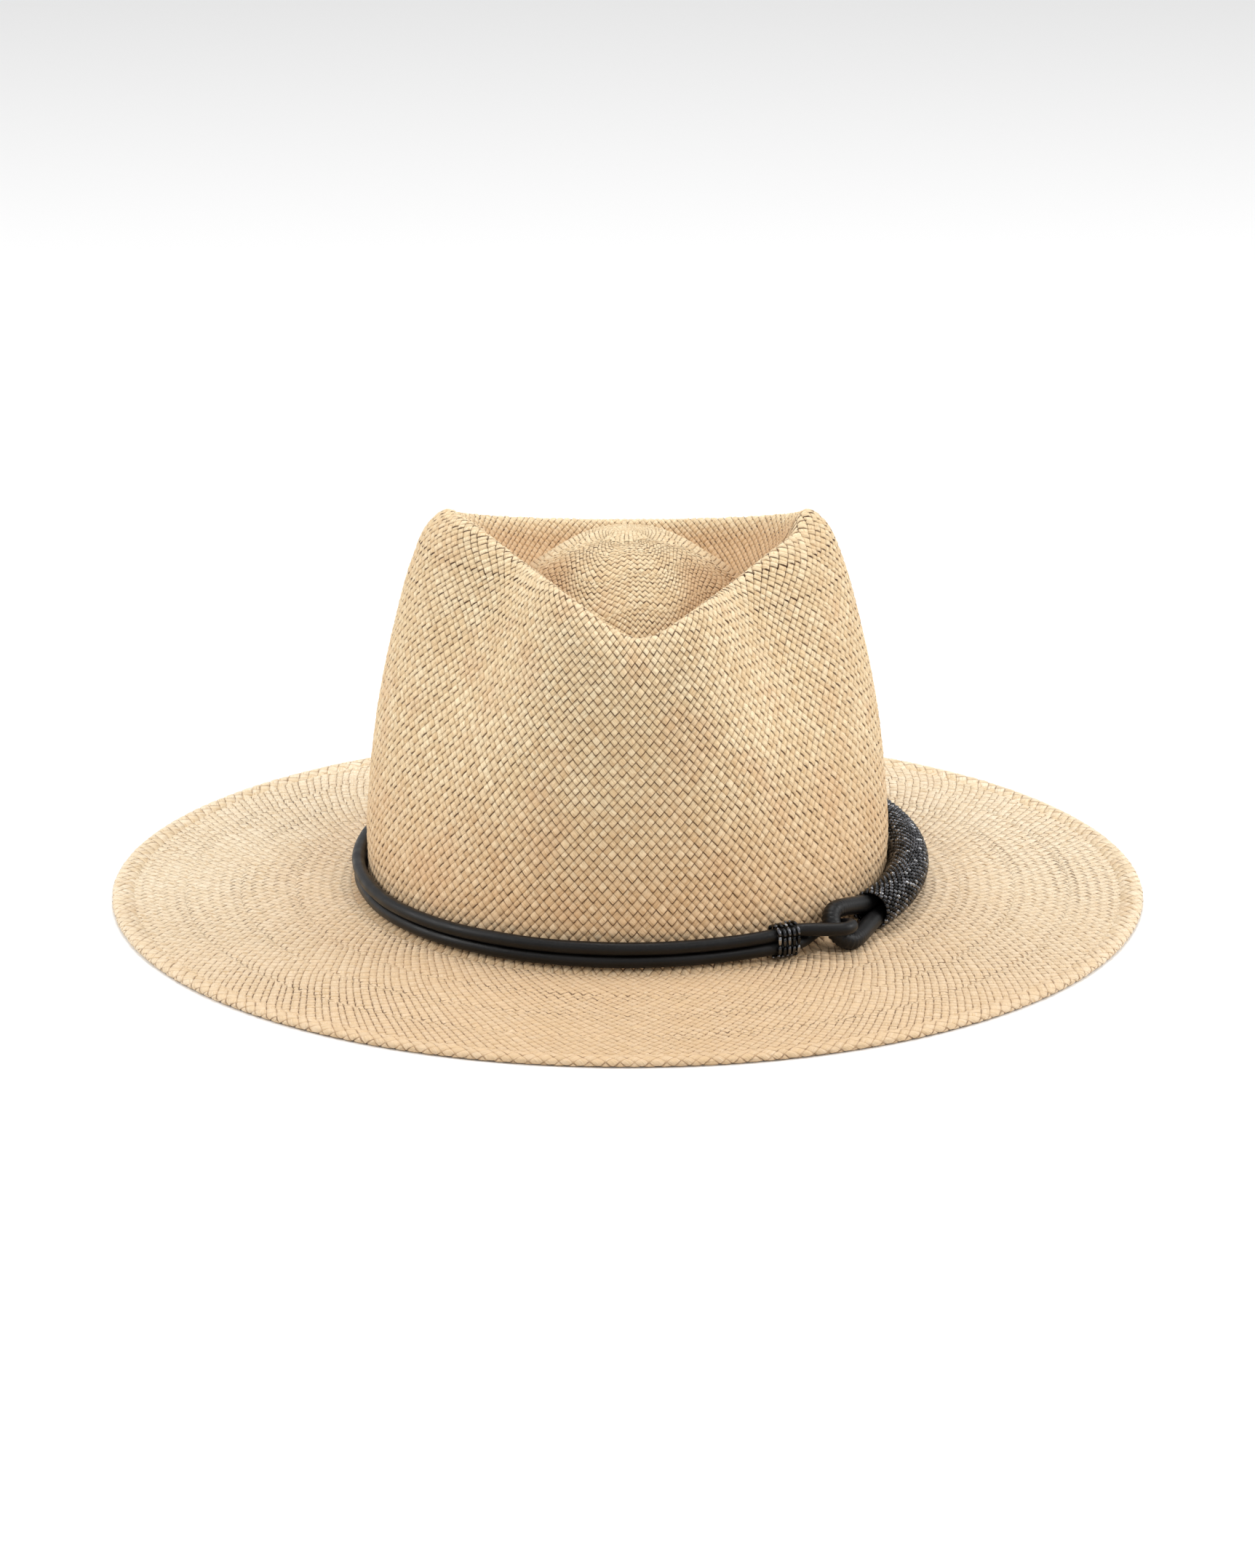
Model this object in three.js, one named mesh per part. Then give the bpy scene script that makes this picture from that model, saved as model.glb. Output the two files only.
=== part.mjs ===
// Woven straw hat with a double leather cord band, a bead collar at each end
// of the cord and a beaded sleeve that joins the two ends through a cord loop.
//
// Millimetres, +Z up, front of the hat toward -Y, origin on the ground plane
// under the middle of the brim. Angle t runs round the head's own axis from
// the front (0) over the wearer's left side, +X (90 deg), to the back (180 deg).
import * as THREE from 'three';

// ---------------------------------------------------------------- dimensions
const STRAW_T = 1.2;            // thickness of the weave
const CREST_SIDE = 127;         // height of the crown's crest over its sides
const CREST_TILT = 0.3;         // fall of the crest per mm toward the back
const NOTCH_DEPTH = 44.3;       // depth of the front pinch below that slope
const NOTCH_REACH = 51;         // half-width of the pinch
const NOTCH_ROUND = 8;          // radius at the bottom of the pinch
const NOTCH_SHIFT = 4;          // pinch sits a little to the left-hand side
const DENT_AT = 50;             // centre of the two front dents, degrees
const DENT_SPREAD = 24;         // their angular spread, degrees

const BASE = { half: 83.2, front: 97.5, back: 101.5 };   // crown at the band
const BORDER_HALF = 160.2;      // where the woven-back border starts
const BORDER_FRONT = 174.2;
const BORDER_BACK = 168.2;
const HEAD_SHIFT = 3;           // head axis lies this far behind the brim's middle

const CORD_D = 4.2;             // leather cord of the band
const LOOP_D = 5.4;             // leather cord of the loop under the beads
const GAP = 0.35;               // working gap between touching pieces
const SLEEVE_OUT = 6.7;         // radius over the beads
const SLEEVE_IN = 6.1;          // radius of the hole through the sleeve
const SLEEVE_NU = 7.1;          // sleeve axis, outward from the crown wall
const SLEEVE_Z = 11.65;         // sleeve axis, height
const SLEEVE_T = [56.9, 123.1]; // ends of the sleeve, degrees
const LOOP_T = [43.7, 136.3];   // apex of the front and the rear loop
const LOOP_HALF = 5.5;          // half height of a loop at its centreline
const LOOP_LEAN = 38;           // loops lean back against the crown, degrees
const FOLD_LEAN = 14;           // lean of the cord's fold through a loop, degrees
const COLLAR_T = [33.1, 146.9]; // middle of the two bead collars
const COLLAR_ROWS = 5;
const COLLAR_PITCH = 1.85;      // spacing of the bead rows
const BEAD_R = 0.65;            // radius of a collar bead
const COLLAR_GAP = 0.5;         // working gap between a collar and the cords

const BAND_BLACK = 0x17171a;
const STRAW_TAN = 0xd3b184;

// ------------------------------------------------------------ crown and brim
// Stations of the hat's upper surface from the dome's apex to the border:
// plan half-width, reach to the front and to the back, inward dent, height at
// front, side and back, and the share of the crest's own height added to it.
const STATIONS = [
  { half: 0.01, front: -8.0, back: 8.02, dent: 0, z: [118, 118, 118], crest: 0 },
  { half: 15, front: 8, back: 27, dent: 0, z: [116.3, 116.3, 115], crest: 0 },
  { half: 31, front: 32, back: 48, dent: 1, z: [104, 107, 101], crest: 0 },
  { half: 42, front: 50, back: 64, dent: 4, z: [91, 100, 84.5], crest: 0 },
  { half: 51, front: 63, back: 75, dent: 11, z: [-9, -9, -9], crest: 1 },
  { half: 57.5, front: 73.5, back: 84, dent: 14, z: [0, 0, 0], crest: 1 },
  { half: 63.8, front: 79, back: 89.5, dent: 14, z: [-5, -4.2, -4], crest: 1 },
  { half: 69, front: 82.5, back: 93, dent: 13, z: [0, 0, 0], crest: 0.875 },
  { half: 74, front: 87, back: 96, dent: 10, z: [0, 0, 0], crest: 0.73 },
  { half: 80, front: 93, back: 99.5, dent: 5, z: [0, 0, 0], crest: 0.49 },
  { half: 83.4, front: 97.2, back: 101.3, dent: 0, z: [0, 0, 0], crest: 0.2 },
  { ...BASE, dent: -1.4, z: [9, 9, 9], crest: 0 },
  { half: 84.6, front: 99, back: 103, dent: -1.4, z: [5.6, 5.6, 5.6], crest: 0 },
  { half: 89, front: 103.5, back: 107.5, dent: -1.2, z: [4.6, 4.6, 4.6], crest: 0 },
  { half: 125, front: 139, back: 140, dent: 0, z: [3, 3, 3], crest: 0 },
  { half: BORDER_HALF, front: BORDER_FRONT, back: BORDER_BACK, dent: 0, z: [1.5, 1.5, 1.5],
    crest: 0 },
];
const CREST_STATION = 5;
const ROWS_PER_SPAN = [1, 2, 2, 2, 2, 2, 2, 2, 2, 2, 2, 2, 1, 2, 2];

const rad = THREE.MathUtils.degToRad;
const V = (x, y, z) => new THREE.Vector3(x, y, z);

// A closed plan curve: an oval with its own front and back reach, pushed in
// along its normal by the two front dents.
function planPoint(oval, t) {
  const reach = Math.cos(t) > 0 ? oval.front : oval.back;
  const away = Math.acos(THREE.MathUtils.clamp(Math.cos(t), -1, 1)) - rad(DENT_AT);
  const push = (oval.dent ?? 0) * Math.exp(-((away / rad(DENT_SPREAD)) ** 2));
  const normal = new THREE.Vector2(Math.sin(t) / oval.half, -Math.cos(t) / reach).normalize();
  return new THREE.Vector2(
    oval.half * Math.sin(t) - push * normal.x,
    -reach * Math.cos(t) - push * normal.y,
  );
}

// Height of the crest over a plan point: a slope down toward the back with a
// rounded V cut into the front.
function crestHeight(p) {
  const side = p.x - NOTCH_SHIFT;
  const across = Math.hypot(side, NOTCH_ROUND) - NOTCH_ROUND;
  const left = 1 - across / NOTCH_REACH;
  const cut = 0.5 * (left + Math.hypot(left, 0.1));
  const forward = THREE.MathUtils.smoothstep(-p.y, 0, 15);
  return CREST_SIDE - CREST_TILT * p.y - NOTCH_DEPTH * cut * forward;
}

function stationPoint(index, t) {
  const station = STATIONS[index];
  const plan = planPoint(station, t);
  const [front, side, back] = station.z;
  const end = Math.cos(t) > 0 ? front : back;
  const own = side + (end - side) * Math.cos(t) ** 2;
  const crest = crestHeight(planPoint(STATIONS[CREST_STATION], t));
  return V(plan.x, plan.y, own + station.crest * crest);
}

// Rows of the upper surface along one meridian, as a smooth curve through the
// stations.
function meridian(t) {
  const points = STATIONS.map((_, index) => stationPoint(index, t));
  const beyond = stationPoint(1, t + Math.PI);
  const curve = new THREE.CatmullRomCurve3([beyond, ...points], false, 'centripetal');
  const spans = points.length;
  const rows = [];
  ROWS_PER_SPAN.forEach((count, span) => {
    for (let i = 0; i < count; i += 1) rows.push(curve.getPoint((span + 1 + i / count) / spans));
  });
  rows.push(points[points.length - 1]);
  return rows;
}

// Profile of the woven-back border: distance outward from where the plain
// brim ends, and height. It stands on a flat ring of the ground plane.
const BORDER_PROFILE = [
  [1.3, 2.0], [3.1, 2.25], [4.9, 1.9], [5.8, 1.15], [5.4, 0.35], [4.8, 0], [1.7, 0], [0.8, 0.12],
];

function borderPoint(out, z, t) {
  const plan = planPoint(
    { half: BORDER_HALF + out, front: BORDER_FRONT + out, back: BORDER_BACK + out },
    t,
  );
  return V(plan.x, plan.y, z);
}

// ------------------------------------------------------------- mesh builders
// Closed body from rings of equal length; the ends are closed by fans, or the
// last ring joins the first.
function ringsToGeometry(rings, joined = false) {
  const position = [];
  const index = [];
  const count = rings[0].length;
  rings.forEach((ring) => ring.forEach((p) => position.push(p.x, p.y, p.z)));
  const spans = joined ? rings.length : rings.length - 1;
  for (let r = 0; r < spans; r += 1) {
    const here = r * count;
    const next = ((r + 1) % rings.length) * count;
    for (let i = 0; i < count; i += 1) {
      const j = (i + 1) % count;
      index.push(here + i, here + j, next + j, here + i, next + j, next + i);
    }
  }
  if (!joined) {
    [0, rings.length - 1].forEach((r) => {
      const middle = new THREE.Vector3();
      rings[r].forEach((p) => middle.add(p));
      middle.divideScalar(count);
      const hub = position.length / 3;
      position.push(middle.x, middle.y, middle.z);
      for (let i = 0; i < count; i += 1) {
        const a = r * count + i;
        const b = r * count + ((i + 1) % count);
        index.push(...(r === 0 ? [hub, b, a] : [hub, a, b]));
      }
    });
  }
  const geometry = new THREE.BufferGeometry();
  geometry.setAttribute('position', new THREE.Float32BufferAttribute(position, 3));
  geometry.setIndex(index);
  if (signedVolume(position, index) < 0) flip(geometry);
  geometry.computeVertexNormals();
  return geometry;
}

function signedVolume(position, index) {
  let volume = 0;
  const corner = (k) => V(position[3 * k], position[3 * k + 1], position[3 * k + 2]);
  for (let i = 0; i < index.length; i += 3) {
    const [a, b, c] = [corner(index[i]), corner(index[i + 1]), corner(index[i + 2])];
    volume += a.dot(b.cross(c)) / 6;
  }
  return volume;
}

function flip(geometry) {
  const index = Array.from(geometry.getIndex().array);
  for (let i = 0; i < index.length; i += 3) {
    [index[i + 1], index[i + 2]] = [index[i + 2], index[i + 1]];
  }
  geometry.setIndex(index);
}

// Each point of a path with its direction of travel.
function pathFrames(points, closed) {
  const last = points.length - 1;
  return points.map((p, i) => {
    const before = points[closed ? (i + last) % points.length : Math.max(i - 1, 0)];
    const after = points[closed ? (i + 1) % points.length : Math.min(i + 1, last)];
    return { at: p, along: after.clone().sub(before).normalize() };
  });
}

// Rotation-minimising frames, with the closing twist shared out on a loop.
function transportFrames(points, closed) {
  const frames = pathFrames(points, closed);
  let across = V(0, 0, 1);
  frames.forEach((frame) => {
    across = across.clone().addScaledVector(frame.along, -across.dot(frame.along)).normalize();
    frame.u = across;
    frame.v = frame.along.clone().cross(across);
  });
  if (!closed) return frames;
  const first = frames[0];
  const carried = across.clone().addScaledVector(first.along, -across.dot(first.along)).normalize();
  const twist = Math.atan2(carried.dot(first.v), carried.dot(first.u));
  frames.forEach((frame, i) => {
    const turn = (-twist * i) / frames.length;
    frame.u = frame.u.clone().applyAxisAngle(frame.along, turn);
    frame.v = frame.v.clone().applyAxisAngle(frame.along, turn);
  });
  return frames;
}

function roundRing(frame, radius, sides) {
  return Array.from({ length: sides }, (_, i) => {
    const turn = (2 * Math.PI * (i + 0.5)) / sides;
    return frame.at.clone()
      .addScaledVector(frame.u, radius * Math.cos(turn))
      .addScaledVector(frame.v, radius * Math.sin(turn));
  });
}

function tube(points, radius, sides, closed) {
  const rings = transportFrames(points, closed).map((frame) => roundRing(frame, radius, sides));
  return ringsToGeometry(rings, closed);
}

// ---------------------------------------------------------------- hat pieces
function strawBody() {
  const around = 72;
  const angles = Array.from({ length: around }, (_, i) => (2 * Math.PI * i) / around);
  const upper = angles.map(meridian);
  const rows = upper[0].length;
  const inner = upper.map((line, i) => {
    const left = upper[(i + around - 1) % around];
    const right = upper[(i + 1) % around];
    return line.map((p, r) => {
      const down = line[Math.min(r + 1, rows - 1)].clone().sub(line[Math.max(r - 1, 0)]);
      const round = right[r].clone().sub(left[r]);
      const normal = round.cross(down).normalize();
      return p.clone().addScaledVector(normal, STRAW_T);
    });
  });
  const rings = [];
  for (let r = 1; r < rows; r += 1) rings.push(upper.map((line) => line[r]));
  BORDER_PROFILE.forEach(([out, z]) => rings.push(angles.map((t) => borderPoint(out, z, t))));
  for (let r = rows - 1; r > 0; r -= 1) rings.push(inner.map((line) => line[r]));
  return ringsToGeometry(rings);
}

// A ring that follows the crown's oval with a given section of (inset from
// the base oval, height) points.
function ovalRing(section, around) {
  const rings = Array.from({ length: around }, (_, i) => {
    const t = (2 * Math.PI * i) / around;
    return section.map(([inset, z, dent]) => {
      const plan = planPoint(
        { half: BASE.half - inset, front: BASE.front - inset, back: BASE.back - inset, dent },
        t,
      );
      return V(plan.x, plan.y, z);
    });
  });
  return ringsToGeometry(rings, true);
}

function circleSection(inset, z, radius, sides, dent) {
  return Array.from({ length: sides }, (_, i) => {
    const turn = (2 * Math.PI * i) / sides;
    return [inset + radius * Math.cos(turn), z + radius * Math.sin(turn), dent];
  });
}

function sweatband() {
  const thick = 1.0;
  const face = [[STRAW_T + 0.6, 7, -1.2], [STRAW_T + 0.7, 18, 0], [STRAW_T + 3.2, 34, 2.2]];
  const back = face.map(([inset, z, dent]) => [inset + thick, z, dent]).reverse();
  return ovalRing([...face, ...back], 60);
}

// Flat bow at the back of the sweatband: two rounded wings and a knot.
function sweatbandBow() {
  const wing = 11;
  const lobe = 4.2;
  const knot = 2.2;
  const shape = new THREE.Shape();
  shape.moveTo(-knot, -knot);
  shape.quadraticCurveTo(-wing * 0.7, -lobe, -wing, -lobe);
  shape.quadraticCurveTo(-wing - 1.4, 0, -wing, lobe);
  shape.quadraticCurveTo(-wing * 0.7, lobe, -knot, knot);
  shape.lineTo(knot, knot);
  shape.quadraticCurveTo(wing * 0.7, lobe, wing, lobe);
  shape.quadraticCurveTo(wing + 1.4, 0, wing, -lobe);
  shape.quadraticCurveTo(wing * 0.7, -lobe, knot, -knot);
  shape.closePath();
  const geometry = new THREE.ExtrudeGeometry(shape, { depth: 1.2, bevelEnabled: false, curveSegments: 6 });
  geometry.rotateX(Math.PI / 2);
  const inset = STRAW_T + 2.2 + 1.0 + GAP + 1.1;
  geometry.translate(0, BASE.back - inset, 22);
  return geometry;
}

// --------------------------------------------------------------- band pieces
// A point of the band: angle round the crown, distance out from the crown's
// base oval and height.
function bandPoint(t, out, z) {
  const plan = planPoint(
    { half: BASE.half + out, front: BASE.front + out, back: BASE.back + out, dent: -1.4 },
    rad(t),
  );
  return V(plan.x, plan.y, z);
}

// Axes at a point of the band: along it, outward and up, leaned by an angle.
function bandAxes(t, out, z, lean) {
  const along = bandPoint(t + 0.5, out, z).sub(bandPoint(t - 0.5, out, z)).normalize();
  const level = along.clone().cross(V(0, 0, 1)).normalize();
  const outward = level.clone().multiplyScalar(Math.cos(rad(lean))).add(V(0, 0, Math.sin(rad(lean))));
  const up = outward.clone().cross(along).normalize();
  return { at: bandPoint(t, out, z), along, outward, up };
}

// Apex of a loop, and the reach of the cord's fold round it, along the band
// and outward.
const LOOP_OUT = 8.6;
const LOOP_Z = 11.75;
const FOLD_R = (LOOP_D + CORD_D) / 2 + GAP + 0.2;
const FOLD_OUT = FOLD_R + 0.7;
const LEG_HALF = (LOOP_D + GAP) / 2;

function curveThrough(points, samples) {
  const curve = new THREE.CatmullRomCurve3(points, true, 'centripetal');
  const path = [];
  points.forEach((_, span) => {
    const count = samples[span];
    for (let i = 0; i < count; i += 1) path.push(curve.getPoint((span + i / count) / points.length));
  });
  return path;
}

// The band's cord, doubled into an endless loop: round the crown on the upper
// run, a fold through the loop at each end, back on the lower run.
const RUN = { upper: { out: 3.3, z: 12.45 }, lower: { out: 2.6, z: 8.2 } };
const COLLAR = { out: 5, upper: 13.0, lower: 8.8 };
const RUN_ANGLES = [20, 8, -8, -24, -40, -56, -73, -90, -107, -124, -140, -156, -172, 172, 160];

function cordRun(side) {
  const [frontCollar, rearCollar] = COLLAR_T;
  const atCollar = (t) => [-3.4, 3.4].map((step) => bandPoint(t + step, COLLAR.out, COLLAR[side]));
  const middle = RUN_ANGLES.map((t) => bandPoint(t, RUN[side].out, RUN[side].z));
  return [...atCollar(frontCollar).reverse(), ...middle, ...atCollar(rearCollar).reverse()];
}

function cordFold(t, toward) {
  const axes = bandAxes(t, LOOP_OUT, LOOP_Z, FOLD_LEAN);
  return [100, 60, 20, -20, -60, -100].map((turn) => axes.at.clone()
    .addScaledVector(axes.along, toward * FOLD_R * Math.cos(rad(turn)))
    .addScaledVector(axes.outward, FOLD_OUT * Math.sin(rad(turn))));
}

function leatherCord() {
  const front = cordFold(LOOP_T[0], 1);
  const rear = cordFold(LOOP_T[1], -1).reverse();
  const lower = cordRun('lower');
  const upper = cordRun('upper').reverse();
  const points = [...front, ...lower, ...rear, ...upper];
  const foldSpans = front.map(() => 2);
  const runSpans = lower.map(() => 3);
  const path = curveThrough(points, [...foldSpans, ...runSpans, ...foldSpans, ...runSpans]);
  return tube(path, CORD_D / 2, 8, true);
}

// The thicker cord under the beads: an endless loop whose two legs lie side
// by side in the sleeve and open into an eye at each end.
function loopCord() {
  const eye = (apex, toward) => {
    const axes = bandAxes(apex + (toward * LOOP_HALF) / 1.754, LOOP_OUT, LOOP_Z, LOOP_LEAN);
    return [80, 40, 0, -40, -80].map((turn) => axes.at.clone()
      .addScaledVector(axes.along, -toward * LOOP_HALF * Math.cos(rad(turn)))
      .addScaledVector(axes.up, LOOP_HALF * Math.sin(rad(turn))));
  };
  const leg = (angles, sign) => angles.map((t) => {
    const axes = bandAxes(t, SLEEVE_NU, SLEEVE_Z, LOOP_LEAN);
    return axes.at.addScaledVector(axes.up, sign * LEG_HALF);
  });
  const legAngles = [56.4, 62, 72, 81, 90, 99, 108, 118, 123.6];
  const points = [
    ...eye(LOOP_T[0], 1),
    ...leg(legAngles, -1),
    ...eye(LOOP_T[1], -1).reverse(),
    ...leg([...legAngles].reverse(), 1),
  ];
  const spans = points.map((_, i) => (i % 14 < 6 ? 3 : 2));
  return tube(curveThrough(points, spans), LOOP_D / 2, 8, true);
}

// Hollow beaded sleeve, open at both ends.
function beadSleeve() {
  const steps = 26;
  const [start, end] = SLEEVE_T;
  const centre = Array.from({ length: steps + 1 }, (_, i) => {
    const t = start + ((end - start) * i) / steps;
    return bandPoint(t, SLEEVE_NU, SLEEVE_Z);
  });
  const frames = transportFrames(centre, false);
  const outer = frames.map((frame) => roundRing(frame, SLEEVE_OUT, 16));
  const inner = frames.map((frame) => roundRing(frame, SLEEVE_IN, 16));
  return ringsToGeometry([...outer, ...inner.reverse()], true);
}

// One row of a bead collar: a string of beads drawn round both runs of cord.
function collarRow(t) {
  const reach = CORD_D / 2 + COLLAR_GAP + BEAD_R;
  const half = (COLLAR.upper - COLLAR.lower) / 2;
  const axes = bandAxes(t, COLLAR.out, (COLLAR.upper + COLLAR.lower) / 2, 0);
  const ring = [];
  [1, -1].forEach((end) => {
    for (let turn = -90; turn <= 90; turn += 22.5) {
      const a = rad(turn);
      ring.push(axes.at.clone()
        .addScaledVector(axes.outward, end * reach * -Math.sin(a))
        .addScaledVector(axes.up, end * (half + reach * Math.cos(a))));
    }
  });
  return tube(ring, BEAD_R, 6, true);
}

// ------------------------------------------------------------------ assembly
const group = new THREE.Group();

function add(name, geometry, colour, roughness) {
  const material = new THREE.MeshStandardMaterial({ color: colour, roughness, metalness: 0 });
  geometry.translate(0, HEAD_SHIFT, 0);
  const mesh = new THREE.Mesh(geometry, material);
  mesh.name = name;
  group.add(mesh);
}

add('straw_body', strawBody(), STRAW_TAN, 0.75);
add('sweatband', sweatband(), 0xb58f63, 0.8);
add('sweatband_reed', ovalRing(circleSection(2.6, 5.75, 0.8, 6, -1.2), 60), 0xa98050, 0.7);
add('sweatband_thread', ovalRing(circleSection(3.4, 10, 0.3, 4, -1.1), 60), 0xe6d9bd, 0.8);
add('sweatband_bow', sweatbandBow(), 0x8b6b45, 0.7);
add('leather_cord', leatherCord(), BAND_BLACK, 0.45);
add('loop_cord', loopCord(), BAND_BLACK, 0.5);
add('bead_sleeve', beadSleeve(), 0x24262a, 0.3);
['front', 'rear'].forEach((place, end) => {
  for (let row = 0; row < COLLAR_ROWS; row += 1) {
    const offset = ((row - (COLLAR_ROWS - 1) / 2) * COLLAR_PITCH) / 1.72;
    const name = `${place}_collar_row_${row + 1}`;
    add(name, collarRow(COLLAR_T[end] + offset), 0x1c1d21, 0.2);
  }
});

export default group;
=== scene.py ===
"""Looks of the woven straw hat with its leather cord band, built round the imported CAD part."""
import math

import bpy
import numpy as np
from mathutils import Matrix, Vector


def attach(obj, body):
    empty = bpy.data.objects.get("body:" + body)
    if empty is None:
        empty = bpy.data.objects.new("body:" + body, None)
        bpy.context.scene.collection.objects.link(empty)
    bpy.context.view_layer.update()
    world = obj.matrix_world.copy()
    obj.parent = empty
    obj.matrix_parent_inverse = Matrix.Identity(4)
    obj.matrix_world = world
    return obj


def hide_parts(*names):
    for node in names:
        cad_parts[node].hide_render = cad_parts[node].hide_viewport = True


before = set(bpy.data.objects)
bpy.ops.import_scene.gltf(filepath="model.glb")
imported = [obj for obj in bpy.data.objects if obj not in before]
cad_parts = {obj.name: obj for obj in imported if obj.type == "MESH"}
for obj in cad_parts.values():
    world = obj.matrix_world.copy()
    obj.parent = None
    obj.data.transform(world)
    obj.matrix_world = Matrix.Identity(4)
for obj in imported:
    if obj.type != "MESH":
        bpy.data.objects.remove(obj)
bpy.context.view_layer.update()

MM = 0.001
RNG = np.random.default_rng(57)
TAU = 2 * math.pi

# ---------------------------------------------------------------- hat's shape (mm, head axis at y = 0)
HEAD_SHIFT = 3.0
STRAW_T = 1.2
CREST_SIDE, CREST_TILT = 127.0, 0.3
NOTCH_DEPTH, NOTCH_REACH, NOTCH_ROUND, NOTCH_SHIFT = 44.3, 51.0, 8.0, 4.0
DENT_AT, DENT_SPREAD = math.radians(50), math.radians(24)
BASE = (83.2, 97.5, 101.5)
BORDER = (160.2, 174.2, 168.2)

# half-width, reach to the front, reach to the back, dent, (z front, side, back), share of the crest's height
STATIONS = [
    (0.01, -8.0, 8.02, 0, (118, 118, 118), 0),
    (15, 8, 27, 0, (116.3, 116.3, 115), 0),
    (31, 32, 48, 1, (104, 107, 101), 0),
    (42, 50, 64, 4, (91, 100, 84.5), 0),
    (51, 63, 75, 11, (-9, -9, -9), 1),
    (57.5, 73.5, 84, 14, (0, 0, 0), 1),
    (63.8, 79, 89.5, 14, (-5, -4.2, -4), 1),
    (69, 82.5, 93, 13, (0, 0, 0), 0.875),
    (74, 87, 96, 10, (0, 0, 0), 0.73),
    (80, 93, 99.5, 5, (0, 0, 0), 0.49),
    (83.4, 97.2, 101.3, 0, (0, 0, 0), 0.2),
    (*BASE, -1.4, (9, 9, 9), 0),
    (84.6, 99, 103, -1.4, (5.6, 5.6, 5.6), 0),
    (89, 103.5, 107.5, -1.2, (4.6, 4.6, 4.6), 0),
    (125, 139, 140, 0, (3, 3, 3), 0),
    (*BORDER, 0, (1.5, 1.5, 1.5), 0),
]
CREST, BRIM_START = 5, 13
SPAN_ROWS = 24  # rows between two stations
BAND_DENT = STATIONS[11][3]


def plan(half, front, back, dent, t):
    """Closed plan curve: an oval pushed in along its normal by the two front dents."""
    c, s = np.cos(t), np.sin(t)
    reach = np.where(c > 0, front, back)
    away = np.arccos(np.clip(c, -1, 1)) - DENT_AT
    push = dent * np.exp(-((away / DENT_SPREAD) ** 2))
    nx, ny = s / half, -c / reach
    n = np.hypot(nx, ny)
    return half * s - push * nx / n, -reach * c - push * ny / n


def crest_height(x, y):
    across = np.hypot(x - NOTCH_SHIFT, NOTCH_ROUND) - NOTCH_ROUND
    left = 1 - across / NOTCH_REACH
    cut = 0.5 * (left + np.hypot(left, 0.1))
    u = np.clip(-y / 15, 0, 1)
    return CREST_SIDE - CREST_TILT * y - NOTCH_DEPTH * cut * u * u * (3 - 2 * u)


def station(k, t):
    half, front, back, dent, (zf, zs, zb), share = STATIONS[k]
    x, y = plan(half, front, back, dent, t)
    c = np.cos(t)
    own = zs + (np.where(c > 0, zf, zb) - zs) * c * c
    crest = crest_height(*plan(*STATIONS[CREST][:4], t))
    return np.stack([x, y, own + share * crest], -1)


def through(points, samples, closed=False):
    """Centripetal Catmull-Rom through points[i] (each an array of points), samples[i] steps in span i."""
    p = np.asarray(points, float)
    n = len(p)
    rows = []
    spans = n if closed else n - 1
    for i in range(spans):
        if closed:
            p0, p1, p2, p3 = (p[(i + k) % n] for k in (-1, 0, 1, 2))
        else:
            p1, p2 = p[i], p[i + 1]
            p0 = p[i - 1] if i else 2 * p1 - p2
            p3 = p[i + 2] if i + 2 < n else 2 * p2 - p1
        d0, d1, d2 = (np.maximum(np.linalg.norm(b - a, axis=-1, keepdims=True) ** 0.5, 1e-4)
                      for a, b in ((p0, p1), (p1, p2), (p2, p3)))
        m1 = ((p1 - p0) / d0 - (p2 - p0) / (d0 + d1) + (p2 - p1) / d1) * d1
        m2 = ((p2 - p1) / d1 - (p3 - p1) / (d1 + d2) + (p3 - p2) / d2) * d1
        for j in range(samples[i]):
            u = j / samples[i]
            rows.append((2 * u**3 - 3 * u**2 + 1) * p1 + (u**3 - 2 * u**2 + u) * m1
                        + (3 * u**2 - 2 * u**3) * p2 + (u**3 - u**2) * m2)
    if not closed:
        rows.append(p[-1])
    return np.array(rows)


AROUND = 720
ANGLES = np.arange(AROUND) * TAU / AROUND


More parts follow.
